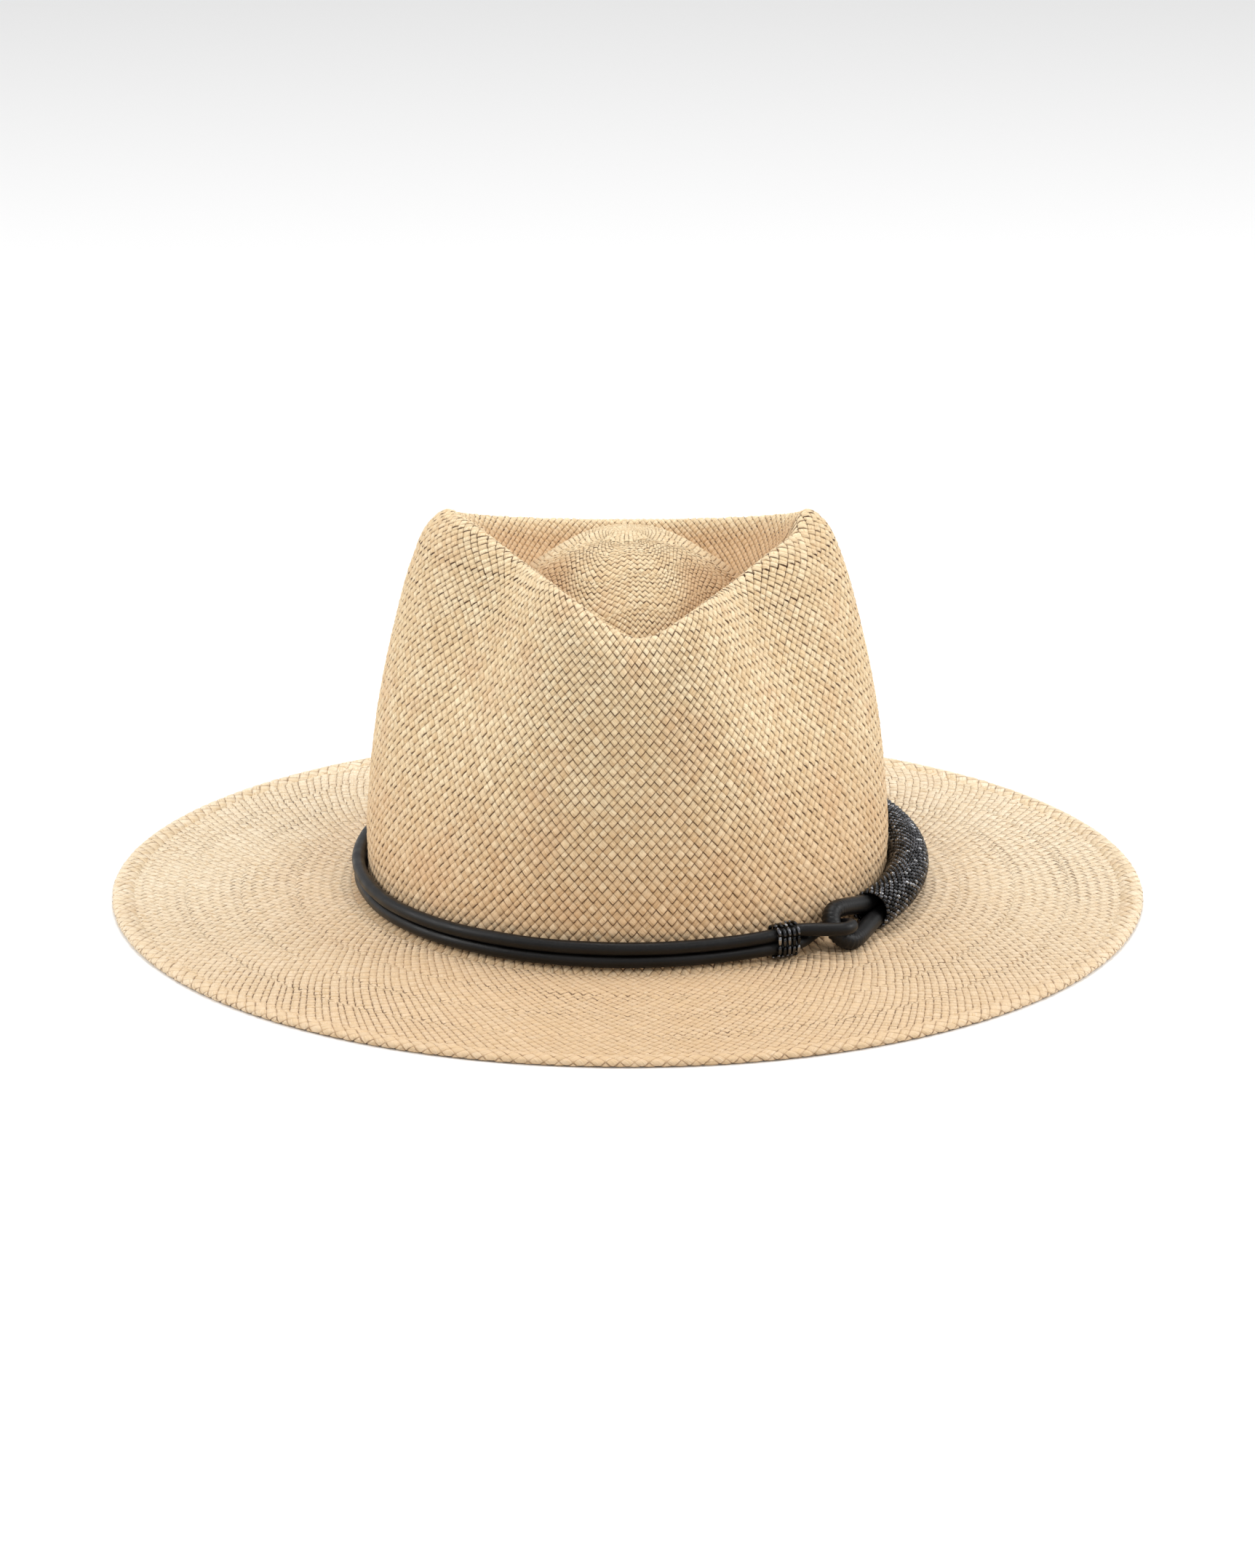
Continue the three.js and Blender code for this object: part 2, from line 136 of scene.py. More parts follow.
class Surface:
    """A smooth surface sampled at (angle t, share s of each meridian's length), with its normals.

    measure replaces the lengths between rows. From share cap on, the surface is a smooth dome.
    """

    CAP_RISE = 1.6

    def __init__(self, rows, count, flip=False, measure=None, cap=None):
        steps = np.linalg.norm(np.diff(rows, axis=0), axis=-1)
        length = np.zeros(rows.shape[:2])
        length[1:] = np.cumsum(steps if measure is None else measure, axis=0)
        share = length / length[-1]
        grid = np.linspace(0, 1, count)
        self.p = np.empty((count, AROUND, 3))
        for j in range(AROUND):
            for c in range(3):
                self.p[:, j, c] = np.interp(grid, share[:, j], rows[:, j, c])
        if cap is not None:
            start = int(cap * (count - 1))
            ring = self.p[start]
            middle = ring.mean(0) + (0, 0, self.CAP_RISE)
            k = ((1 - grid[start:]) / (1 - grid[start]))[:, None]
            self.p[start:, :, :2] = middle[:2] + (ring[:, :2] - middle[:2]) * k[..., None]
            self.p[start:, :, 2] = middle[2] - (middle[2] - ring[:, 2]) * k**2
        round_ = np.roll(self.p, -1, 1) - np.roll(self.p, 1, 1)
        along = np.gradient(self.p, axis=0)
        n = np.cross(round_, along)
        n /= np.maximum(np.linalg.norm(n, axis=-1, keepdims=True), 1e-12)
        self.n = -n if flip else n
        step = self.p - np.roll(self.p, 1, 1)
        self.girth = np.linalg.norm(step, axis=-1).sum(1)
        self.length = steps.sum(0).mean()
        self.grid = grid

    def offset(self, distance):
        """The same surface moved along its normals, facing the other way."""
        other = object.__new__(Surface)
        other.p = self.p + self.n * distance
        other.n = -self.n
        other.girth, other.length, other.grid = self.girth, self.length, self.grid
        return other

    def at(self, t, s):
        """Points and normals at angles t and shares s."""
        ft = (t / TAU * AROUND) % AROUND
        j0 = np.floor(ft).astype(int) % AROUND
        j1 = (j0 + 1) % AROUND
        wt = (ft - np.floor(ft))[:, None]
        fs = np.clip(s, 0, 1) * (len(self.grid) - 1)
        i0 = np.minimum(fs.astype(int), len(self.grid) - 2)
        ws = (fs - i0)[:, None]
        out = []
        for a in (self.p, self.n):
            low = a[i0, j0] * (1 - wt) + a[i0, j1] * wt
            high = a[i0 + 1, j0] * (1 - wt) + a[i0 + 1, j1] * wt
            out.append(low * (1 - ws) + high * ws)
        return out


def hat_rows():
    rings = [station(k, ANGLES) for k in range(len(STATIONS))]
    beyond = np.roll(rings[1], AROUND // 2, 0)
    rows = through([beyond] + rings, [1] + [SPAN_ROWS] * (len(rings) - 1))
    return rows[1:]


rows = hat_rows()
brim_row = SPAN_ROWS * BRIM_START
crest_row = SPAN_ROWS * (BRIM_START - CREST)


def crown_measure(up):
    """Row spacing up each meridian: level rows on the wall, the rest shared out to the apex."""
    step = np.diff(up, axis=0)
    length = np.linalg.norm(step, axis=-1)
    wall = 0.35 * length + 0.65 * np.abs(step[..., 2])
    wall_total, top_total = wall[:crest_row].sum(0), length[crest_row:].sum(0)
    side = AROUND // 4
    total = max(wall_total[side] + top_total[side], wall_total.max() + 60)
    return np.vstack([wall[:crest_row], length[crest_row:] * (total - wall_total) / top_total])


crown_up = rows[brim_row::-1]
crown_top = Surface(crown_up, 500, measure=crown_measure(crown_up), cap=0.9)
crown_top.n[-1] = (0, 0, 1)
brim_top = Surface(rows[brim_row:], 200, flip=True)
crown_in = crown_top.offset(-STRAW_T)
brim_under = brim_top.offset(-STRAW_T)


# ---------------------------------------------------------------- mesh helpers
def to_object(name, verts, faces, uv=None, paint=None):
    """A smooth mesh object in metres. faces is a list of index arrays, one per corner count."""
    mesh = bpy.data.meshes.new(name)
    verts = np.asarray(verts, float).copy()
    verts[:, 1] += HEAD_SHIFT
    verts *= MM
    counts = np.concatenate([np.full(len(f), f.shape[1]) for f in faces])
    loops = np.concatenate([f.ravel() for f in faces])
    used, loops = np.unique(loops, return_inverse=True)
    verts = verts[used]
    mesh.vertices.add(len(verts))
    mesh.vertices.foreach_set("co", verts.ravel())
    mesh.loops.add(len(loops))
    mesh.loops.foreach_set("vertex_index", loops.astype(np.int32))
    mesh.polygons.add(len(counts))
    starts = np.concatenate([[0], np.cumsum(counts)[:-1]])
    mesh.polygons.foreach_set("loop_start", starts.astype(np.int32))
    mesh.polygons.foreach_set("loop_total", counts.astype(np.int32))
    mesh.polygons.foreach_set("use_smooth", np.ones(len(counts), bool))
    if uv is not None:
        layer = mesh.uv_layers.new(name="strand")
        layer.data.foreach_set("uv", np.concatenate([u.reshape(-1, 2) for u in uv]).ravel())
    if paint is not None:
        layer = mesh.color_attributes.new(name="paint", type="FLOAT_COLOR", domain="POINT")
        rgba = np.ones((len(verts), 4))
        rgba[:, :3] = paint[used]
        layer.data.foreach_set("color", rgba.ravel())
    mesh.update(calc_edges=True)
    mesh.validate()
    obj = bpy.data.objects.new(name, mesh)
    bpy.context.scene.collection.objects.link(obj)
    return obj


def grid_faces(rings, sides, closed):
    i = np.arange(rings if closed else rings - 1)[:, None]
    j = np.arange(sides)[None, :]
    i2, j2 = (i + 1) % rings, (j + 1) % sides
    return np.stack([i * sides + j, i * sides + j2, i2 * sides + j2, i2 * sides + j], -1).reshape(-1, 4)


class MeshParts:
    """Collects vertices, faces, strand coordinates and paint of several patches into one mesh."""

    def __init__(self):
        self.verts, self.paint, self.faces, self.uv, self.count = [], [], [], [], 0

    def add(self, verts, paint, faces, uv):
        """faces and uv each hold one array for the quads and one for the triangles."""
        self.faces.append([kind + self.count for kind in faces])
        self.uv.append(uv)
        self.verts.append(verts)
        self.paint.append(paint)
        self.count += len(verts)

    def build(self, name):
        faces, uv = ([np.concatenate(kind) for kind in zip(*pairs)] for pairs in (self.faces, self.uv))
        return to_object(name, np.concatenate(self.verts), faces, uv, np.concatenate(self.paint))


# ---------------------------------------------------------------- weave
# Added to the strand coordinates of the second family, so that no strand shares a number.
SECOND_FAMILY = 700
TABLE = 400  # samples of the rows-up-the-surface table
SWELLS = 64  # different heights along a strand before they repeat


def wave(t, g, seed):
    """Slow periodic unevenness in -1..1."""
    r = np.random.default_rng(seed)
    total = 0
    waves = (3, 5, 8, 13)
    for k in waves:
        around = np.sin(k * t + r.uniform(0, TAU))
        total = total + around * np.sin(g * r.uniform(0.12, 0.4) + r.uniform(0, TAU))
    return total / len(waves)


def weave(parts, surface, strands, low, high, relief, cuts, seed, face_out, shingle=0.4, pinch=0.16,
          uneven=1.0, openness=None, wear=None):
    """Adds a plain weave over surface between two shares of its length.

    strands is the count in each of the two slanted families. Each crossing is one pillow: relief is
    (base, height of the raised family, height of the other) in mm, cuts are the places across a
    strand where the mesh has vertices. shingle lifts one edge of each pillow, pinch sinks the
    corners, openness(t, share, row) says how wide the gaps stand and tone(t, share, points)
    how pale the straw has become and how much painted shade darkens it.
    """
    r = np.random.default_rng(seed)
    k = len(cuts)
    spot = np.array(list(cuts) + [1.0])
    middle = np.abs(spot - 0.5) < 0.2
    edge = (spot == 0) | (spot == 1)
    w_side = np.where(edge, 0, np.where(middle, 1.0, 0.93))
    w_end = np.where(edge, 0, np.where(middle, 1.0, 0.78))
    s = np.linspace(low, high, TABLE)
    girth = np.interp(s, surface.grid, surface.girth)
    rate = strands * surface.length / np.maximum(girth, 1e-3)
    g_of_s = np.concatenate([[0], np.cumsum((rate[1:] + rate[:-1]) / 2 * np.diff(s))])
    rows_half = max(2, round(2 * g_of_s[-1]))
    g_of_s *= rows_half / 2 / g_of_s[-1]

    count = strands * k
    q = np.repeat(np.arange(k * rows_half + 1), count)
    m = np.tile(np.arange(count), k * rows_half + 1)
    p = (q % 2) + 2 * m
    la, lb = (p + q) // 2, (p - q) // 2
    ia, ib = np.floor_divide(la, k), np.floor_divide(lb, k)
    ma, mb = la - ia * k, lb - ib * k
    width = 0.15 * uneven
    ea, eb = r.uniform(-width, width, strands), r.uniform(-width, width, strands)
    a = (ia + ea[ia % strands]) * (1 - spot[ma]) + (ia + 1 + ea[(ia + 1) % strands]) * spot[ma]
    b = (ib + eb[ib % strands]) * (1 - spot[mb]) + (ib + 1 + eb[(ib + 1) % strands]) * spot[mb]
    g = np.clip((a - b) / 2, 0, rows_half / 2)
    on_ring = (q == 0) | (q == k * rows_half)
    g[q == 0] = 0
    g[q == k * rows_half] = rows_half / 2
    t = TAU * (a + b) / (2 * strands)
    inside = np.clip(np.minimum(g, rows_half / 2 - g), 0, 1)
    g = g + 0.32 * uneven * inside * wave(t, g, seed + 1)
    share = np.interp(g, g_of_s, s)
    centre, normal = surface.at(t, share)

    base, tall, flat = relief
    row = ia - ib
    family = row % 2 == 0
    side, end = np.where(family, ma, mb), np.where(family, mb, ma)
    swell = 1 + 0.22 * (r.random((strands, SWELLS))[ia % strands, ib % SWELLS] - 0.5)
    down = (1 - spot[ma] + spot[mb]) / 2 if shingle > 0 else (1 + spot[ma] - spot[mb]) / 2
    overhang = 1 + abs(shingle) * np.where(family, 2 * down - 1, 0.4 * (2 * down - 1))
    height = base + np.where(family, tall, flat) * swell * overhang * w_side[side] * w_end[end]
    border = (ma == 0) | (mb == 0) | on_ring
    corner = (ma == 0) & (mb == 0)
    touch = np.maximum(np.abs(spot[ma] - 0.5) * (mb == 0), np.abs(spot[mb] - 0.5) * (ma == 0))
    height[border] = base + (pinch * (0.35 - touch * 2.2))[border]
    height[corner] = base - pinch
    gap = np.zeros(len(q)) if openness is None else openness(t, share, q / k)
    height[border] -= 0.3 * gap[border]
    verts = centre + normal * height[:, None]
    # paling of the straw and painted shade, kept in the paint attribute
    paling, shade = (np.zeros(len(q)), np.zeros(len(q))) if wear is None else wear(t, share, centre)
    paint = np.stack([gap, shade, paling], -1)

    def index(qq, pp):
        return qq * count + ((pp - qq % 2) // 2) % count

    def uv_of(cell_a, cell_b, da, db):
        """Strand coordinates (along, across) of a corner, in the cell it belongs to."""
        even = ((cell_a - cell_b) % 2 == 0)
        aa, bb = cell_a + spot[da], cell_b + spot[db]
        along = np.where(even, bb, aa + SECOND_FAMILY)
        across = np.where(even, aa, bb + SECOND_FAMILY)
        return np.stack([along, across], -1)

    inner = (q > 0) & (q < k * rows_half)
    order = ((0, 0), (0, 1), (1, 1), (1, 0)) if face_out else ((0, 0), (1, 0), (1, 1), (0, 1))

    def corners(mask, steps):
        qq, pp = q[mask], p[mask]
        ca, cb, da, db = ia[mask], ib[mask], ma[mask], mb[mask]
        faces = np.stack([index(qq + sa - sb, pp + sa + sb) for sa, sb in steps], -1)
        uv = np.stack([uv_of(ca, cb, da + sa, db + sb) for sa, sb in steps], 1)
        return faces, uv

    quads, quad_uv = corners(inner, order)
    low_tri, low_uv = corners(q == 0, [c for c in order if c != (0, 1)])
    top_tri, top_uv = corners(q == k * rows_half, [c for c in order if c != (1, 0)])
    tris, tri_uv = np.concatenate([low_tri, top_tri]), np.concatenate([low_uv, top_uv])
    parts.add(verts, paint, (quads, tris), (quad_uv, tri_uv))


# Places across a strand, in shares of its width, where a pillow has vertices.
FINE = (0.0, 0.1, 0.5, 0.9)
PLAIN = (0.0, 0.14, 0.86)


def weave_strip(name, surface, zones, relief, cuts, seed, face_out, **more):
    """A strip of weave in rings: zones are (low share, high share, strands)."""
    parts = MeshParts()
    for i, (low, high, strands) in enumerate(zones):
        weave(parts, surface, strands, low, high, relief, cuts, seed + 10 * i, face_out, **more)
    return parts.build(name)


crown_zones = [(0, 0.68, 170), (0.68, 0.77, 126), (0.77, 0.85, 92), (0.85, 0.915, 64), (0.915, 0.96, 40),
               (0.96, 0.985, 22)]
brim_zones = [(0, 0.25, 196), (0.25, 0.5, 226), (0.5, 0.75, 262), (0.75, 1, 296)]


def crown_gaps(t, share, row):
    """Open rows under the crest, most of all over the sides, and a slow unevenness elsewhere."""
    side = np.clip(1.3 * np.abs(np.sin(t)) - 0.15, 0, 1)
    near = np.clip(1 - np.abs(share - 0.55) / 0.1, 0, 1)
    band = np.floor(row / 2)
    fourth, other = (band % 4 < 1).astype(float), (band % 2 < 1).astype(float)
    slow = np.clip(0.55 + wave(t, share * 60, 91), 0, 1)
    return np.clip(0.5 * near * fourth * side + 0.22 * side * other * slow + 0.1 * slow, 0, 1)


CREST_LINE = station(CREST, ANGLES)


def crown_wear(t, share, points):
    """The crest and the top of the dome are pale; the trough between them is darkened with painted shade."""
    crest = np.stack([np.interp(t % TAU, ANGLES, CREST_LINE[:, c], period=TAU) for c in range(3)], -1)
    away = np.linalg.norm(points - crest, axis=-1)
    plan_in = np.hypot(crest[:, 0], crest[:, 1]) - np.hypot(points[:, 0], points[:, 1])
    # painted shade in the trough between the crest and the dome
    trough = np.clip((plan_in - 1.5) / 4, 0, 1) * np.clip((34 - plan_in) / 10, 0, 1)
    return 0.9 * np.clip(1 - away / 6, 0, 1) + 0.4 * np.clip((share - 0.85) / 0.15, 0, 1), trough


def brim_wear(t, share, points):
    """The brim pales toward its edge and over its sides, and its front is darkened with painted shade."""
    pale = 1.1 * np.clip((share + 0.2) / 0.8, 0, 1) * np.clip(1.3 * np.abs(np.sin(t)) - 0.15, 0, 1)
    # the second value is painted shade over the brim's front
    return pale, 1.1 * np.clip(np.cos(t), 0, 1)


def brim_gaps(t, share, row):
    """Rings of open corners across the brim."""
    ring = (np.floor(row / 2) % 4 < 1) * (0.6 + wave(t, share * 20, 93))
    return np.clip(0.3 * ring + 0.45 * wave(t, share * 50, 92) + 0.1, 0, 1)


crown_side = weave_strip("crown_weave", crown_top, crown_zones[:1], (-0.16, 0.6, 0.36), FINE, 1, True,
                         openness=crown_gaps, wear=crown_wear)
crown_tip = weave_strip("crown_tip_weave", crown_top, crown_zones[1:], (-0.12, 0.45, 0.3), FINE, 2, True,
                        uneven=0.6, openness=brim_gaps, wear=crown_wear)
brim_weave = weave_strip("brim_weave", brim_top, brim_zones, (-0.12, 0.44, 0.26), FINE, 3, False,
                         shingle=-0.45, openness=brim_gaps, wear=brim_wear)
crown_lining = weave_strip("crown_inner_weave", crown_in, crown_zones, (-0.1, 0.4, 0.3), PLAIN, 4, False)
brim_lining = weave_strip("brim_under_weave", brim_under, brim_zones, (-0.1, 0.36, 0.28), PLAIN, 5, True)

# Border: woven back over the edge, from the top weave round to the underside.
BORDER_PROFILE = [(-1.6, 1.62), (-0.6, 2.0), (1.2, 2.25), (3.1, 2.25), (4.8, 1.9), (5.65, 1.2),
                  (5.2, 0.55), (3.6, 0.36), (1.6, 0.36), (0.0, 0.36)]
border_rings = []
for out, z in BORDER_PROFILE:
    bx, by = plan(*(reach + out for reach in BORDER), 0, ANGLES)
    border_rings.append(np.stack([bx, by, np.full(AROUND, z)], -1))
border_surface = Surface(through(border_rings, [12] * (len(border_rings) - 1)), 160, flip=True)
border_weave = weave_strip("brim_border_weave", border_surface, [(0, 1, 226)], (-0.12, 0.42, 0.34),
                           FINE, 6, False, shingle=0, wear=brim_wear)


TIP_ROWS = 39


def crown_start(name):
    """The round of crossed strands that the weave grows from, at the dome's apex."""
    strands, width, cuts = 9, 1.45, np.array([0.06, 0.16, 0.5, 0.84, 0.94])
    swell = np.array([0.0, 0.8, 1.0, 0.8, 0.0])
    sides, last_row = len(cuts), len(crown_top.grid) - 1
    corners = sides * sides
    tip = np.hypot(*(crown_top.p[-1 - TIP_ROWS, :, :2] - crown_top.p[-1, 0, :2]).T).mean()
    faces = grid_faces(sides, sides, False).reshape(sides - 1, sides, 4)[:, :-1].reshape(-1, 4)
    verts, paint, quads, uv = [], [], [], []
    for i in range(strands):
        for j in range(strands):
            x0, y0 = i - strands / 2, j - strands / 2
            if math.hypot(x0 + 0.5, y0 + 0.5) > strands / 2 - 0.1:
                continue
            u, v = np.meshgrid(cuts, cuts, indexing="ij")
            x, y = (x0 + u).ravel() * width, (y0 + v).ravel() * width
            t, reach = np.arctan2(x, -y), np.hypot(x, y)
            at, normal = crown_top.at(t, 1 - reach / tip * TIP_ROWS / last_row)
            over = (i + j) % 2 == 0
            side, end = (swell[:, None], swell[None]) if over else (swell[None], swell[:, None])
            height = 0.12 + 0.42 * (side * (0.55 + 0.45 * end)).ravel()
            quads.append(faces + corners * len(verts))
            verts.append(at + normal * height[:, None])
            paint.append(np.tile([0.0, 0, 0.5], (corners, 1)))
            along, across = (j + v, i + u) if over else (i + u, j + v + SECOND_FAMILY)
            uv.append(np.stack([along.ravel(), across.ravel()], -1)[faces])
    return to_object(name, np.concatenate(verts), [np.concatenate(quads)], [np.concatenate(uv)],
                     np.concatenate(paint))


apex = crown_start("crown_start_weave")
straw_pieces = [crown_side, crown_tip, brim_weave, crown_lining, brim_lining, border_weave, apex]


# ---------------------------------------------------------------- material helpers
def new_material(name):
    """A material, the graph that builds its nodes, and its shader."""
    material = bpy.data.materials.new(name)
    material.use_nodes = True
    tree = material.node_tree
    tree.nodes.clear()
    output = tree.nodes.new("ShaderNodeOutputMaterial")
    shader = tree.nodes.new("ShaderNodeBsdfPrincipled")
    tree.links.new(shader.outputs[0], output.inputs[0])
    return material, Graph(tree), shader


class Graph:
    """Short names for building a node graph."""

    def __init__(self, tree):
        self.tree = tree

    def link(self, a, b):
        self.tree.links.new(a, b)

    def node(self, kind, **values):
        node = self.tree.nodes.new(kind)
        for key, value in values.items():
            setattr(node, key, value)
        return node

    def put(self, socket, value):
        if isinstance(value, bpy.types.NodeSocket):
            self.link(value, socket)
        else:
            socket.default_value = value

    def math(self, op, a, b=0.0, clamp=False):
        node = self.node("ShaderNodeMath", operation=op, use_clamp=clamp)
        for socket, value in zip(node.inputs, (a, b)):
            self.put(socket, value)
        return node.outputs[0]

    def times(self, a, b, clamp=False):
        return self.math("MULTIPLY", a, b, clamp)

    def plus(self, a, b):
        return self.math("ADD", a, b)

    def mix(self, share, a, b):
        node = self.node("ShaderNodeMix", data_type="RGBA")
        self.put(node.inputs[0], share)
        self.put(node.inputs[6], a)
        self.put(node.inputs[7], b)
        return node.outputs[2]

    def ramp(self, value, low, high, to_low=0.0, to_high=1.0):
        node = self.node("ShaderNodeMapRange", interpolation_type="SMOOTHSTEP")
        for socket, v in zip(node.inputs[:5], (value, low, high, to_low, to_high)):
            self.put(socket, v)
        return node.outputs[0]

    def noise(self, vector, scale, detail=2.0, rough=0.5):
        node = self.node("ShaderNodeTexNoise", noise_dimensions="3D")
        self.put(node.inputs["Vector"], vector)
        node.inputs["Scale"].default_value = scale
        node.inputs["Detail"].default_value = detail
        node.inputs["Roughness"].default_value = rough
        return node.outputs[0]

    def white(self, vector):
        node = self.node("ShaderNodeTexWhiteNoise", noise_dimensions="2D")
        self.put(node.inputs["Vector"], vector)
        return node.outputs[0]

    def place(self):
        return self.node("ShaderNodeTexCoord").outputs["Object"]

    def cells(self, vector, scale):
        """Distance to the edges of a grain of cells."""
        node = self.node("ShaderNodeTexVoronoi", feature="DISTANCE_TO_EDGE")
        node.inputs["Scale"].default_value = scale
        self.link(vector, node.inputs["Vector"])
        return node.outputs["Distance"]

    def combine(self, x, y, z=0.0):
        node = self.node("ShaderNodeCombineXYZ")
        for socket, value in zip(node.inputs, (x, y, z)):
            self.put(socket, value)
        return node.outputs[0]

    def separate(self, vector):
        node = self.node("ShaderNodeSeparateXYZ")
        self.put(node.inputs[0], vector)
        return node.outputs

    def bump(self, height, strength, distance):
        node = self.node("ShaderNodeBump")
        node.inputs["Strength"].default_value = strength
        node.inputs["Distance"].default_value = distance
        self.put(node.inputs["Height"], height)
        return node.outputs[0]


def srgb(r, g, b):
    """Linear colour of an 8-bit sRGB triple."""
    linear = (((c / 255 + 0.055) / 1.055) ** 2.4 if c > 10 else c / 255 / 12.92 for c in (r, g, b))
    return (*linear, 1.0)


# ---------------------------------------------------------------- straw material
def straw_material(name, tints, gap_and_shadow_strength):
    """Straw: tints are (pale, middle, tan, reddish) sRGB colours."""
    material, g, shader = new_material(name)
    strand = g.node("ShaderNodeUVMap", uv_map="strand").outputs[0]
    along, across, _ = g.separate(strand)
    place = g.place()
    px, py, pz = g.separate(place)
    radius = g.math("SQRT", g.plus(g.times(px, px), g.times(py, py)))
    paint = g.node("ShaderNodeAttribute", attribute_name="paint").outputs["Color"]
    openness, shade, wear = g.separate(paint)

    strand_id, cell_id = g.math("FLOOR", across), g.math("FLOOR", along)
    tint = g.white(g.combine(strand_id, g.math("FLOOR", g.times(along, 0.11))))
    cell = g.white(g.combine(strand_id, cell_id))
    slow = g.noise(place, 11.0, 3.0)
    drift = g.noise(place, 55.0, 3.0)

    pale, mid, tan, red = (srgb(*c) for c in tints)
    colour = g.mix(g.ramp(tint, 0.15, 0.95), mid, pale)
    colour = g.mix(g.times(g.ramp(cell, 0.55, 1.0), 0.28), colour, tan)
    colour = g.mix(g.times(g.ramp(cell, 0.3, 0.0), 0.2), colour, pale)
    colour = g.mix(g.times(g.ramp(drift, 0.52, 0.7), 0.32), colour, red)
    colour = g.mix(g.times(g.ramp(slow, 0.42, 0.7), 0.28), colour, tan)
    low = g.times(g.ramp(pz, 0.07, 0.008), g.ramp(radius, 0.13, 0.104))
    colour = g.mix(g.times(low, 0.45), colour, red)
    # The third paint channel pales the straw; the second is painted shade, darkening the crown's trough and
    # the brim's front toward tan and red.
    colour = g.mix(g.times(wear, 0.6, clamp=True), colour, pale)
    colour = g.mix(g.times(shade, 0.75), colour, g.mix(0.5, tan, red))

    fibre_place = g.combine(g.times(along, 0.7), g.times(across, 7.5),
                            g.times(cell, 9.0))
    fibre = g.noise(fibre_place, 1.0, 2.0, 0.6)
    colour = g.mix(g.ramp(fibre, 0.52, 0.32, 0.0, 0.8), colour, tan)
    colour = g.mix(g.ramp(fibre, 0.55, 0.75, 0.0, 0.35), colour, pale)

    # Dark lines along the strands' edges and at their corners: partly the real gaps and holes between the
    # strands, partly painted shadow in these crevices.
    fa, fs = g.math("FRACT", along), g.math("FRACT", across)
    ra, rs = g.math("SUBTRACT", 1.0, fa), g.math("SUBTRACT", 1.0, fs)
    broad_place = g.combine(g.times(along, 0.8), g.times(across, 0.8), 2.0)
    broad = g.noise(broad_place, 1.0, 1.0)
    width = g.plus(g.ramp(broad, 0.3, 0.7, 0.75, 1.2), g.times(openness, 0.8))
    deep = g.math("MAXIMUM", g.ramp(g.math("DIVIDE", fs, width), 0.1, 0.04),
                  g.ramp(g.math("DIVIDE", ra, width), 0.1, 0.04))
    thin = g.math("MAXIMUM", g.ramp(rs, 0.075, 0.015), g.ramp(fa, 0.09, 0.015))
    near_side = g.ramp(g.math("MINIMUM", fs, rs), 0.18, 0.05)
    near_end = g.ramp(g.math("MINIMUM", fa, ra), 0.18, 0.05)
    corner = g.times(near_side, near_end)
    dark = g.math("MAXIMUM", g.times(deep, g.ramp(broad, 0.35, 0.6, 0.55, 0.95)),
                  g.times(thin, 0.55))
    dark = g.math("MAXIMUM", dark, g.times(corner, g.plus(0.7, openness)))
    strength = g.plus(gap_and_shadow_strength, g.times(openness, 0.35))
    dark = g.times(dark, strength, clamp=True)
    brown = g.mix(g.ramp(dark, 0.35, 0.85), srgb(150, 104, 60), srgb(78, 46, 20))
    colour = g.mix(dark, colour, brown)
    g.link(colour, shader.inputs["Base Color"])

    g.link(g.ramp(fibre, 0.3, 0.7, 0.66, 0.5), shader.inputs["Roughness"])
    shader.inputs["Specular IOR Level"].default_value = 0.32
    shader.inputs["Sheen Weight"].default_value = 0.08
    shader.inputs["Sheen Roughness"].default_value = 0.5
    height = g.plus(fibre, g.times(g.noise(place, 1400.0, 2.0), 0.3))
    g.link(g.bump(height, 0.8, 0.00045), shader.inputs["Normal"])
    return material


CROWN_TINTS = [(247, 227, 189), (236, 210, 167), (209, 173, 127), (222, 177, 134)]
BRIM_TINTS = [(247, 231, 203), (232, 208, 169), (210, 179, 136), (219, 183, 145)]
straw_crown = straw_material("straw_crown", CROWN_TINTS, 0.88)
straw_brim = straw_material("straw_brim", BRIM_TINTS, 0.7)
straw_inside = straw_material("straw_inside", CROWN_TINTS, 0.7)
for piece, material in zip(straw_pieces, (straw_crown, straw_crown, straw_brim, straw_inside, straw_brim,
                                          straw_brim, straw_crown)):
    piece.data.materials.append(material)
    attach(piece, "hat")
    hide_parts("straw_body")

# ---------------------------------------------------------------- band route (mm)
CORD_R, LOOP_R, GAP = 2.1, 2.7, 0.35
SLEEVE_OUT, SLEEVE_NU, SLEEVE_Z, SLEEVE_T = 6.7, 7.1, 11.65, (56.9, 123.1)
SLEEVE_PITCH, SLEEVE_AROUND, SLEEVE_BEAD, SLEEVE_DEPTH = 1.72, 21, (0.75, 0.76), 0.84
LEG_ANGLES = [56.4, 62, 72, 81, 90, 99, 108, 118, 123.6]
LOOP_T, LOOP_HALF, LOOP_LEAN, LOOP_OUT, LOOP_Z = (43.7, 136.3), 5.5, 38.0, 8.6, 11.75
COLLAR_T, COLLAR_ROWS, COLLAR_PITCH, BEAD_R = (33.1, 146.9), 5, 1.85, 0.65
COLLAR_BEADS, COLLAR_ENDS = 9, (3.4, -3.4)
FOLD_R = LOOP_R + CORD_R + GAP + 0.2
FOLD_OUT, FOLD_LEAN = FOLD_R + 0.7, 14.0
RUN = {"upper": (3.3, 12.45), "lower": (2.6, 8.2)}
COLLAR = {"out": 5.0, "upper": 13.0, "lower": 8.8}
MM_PER_DEGREE = 1.72  # along the cords, round the crown
LOOP_MM_PER_DEGREE = 1.754
RUN_ANGLES = [20, 8, -8, -24, -40, -56, -73, -90, -107, -124, -140, -156, -172, 172, 160]


def band_point(t, out, z):
    """A point at t degrees round the crown, out from its base line."""
    x, y = plan(*(reach + out for reach in BASE), BAND_DENT, np.radians(np.asarray(t, float)))
    return np.stack([x, y, np.broadcast_to(z, np.shape(x))], -1)


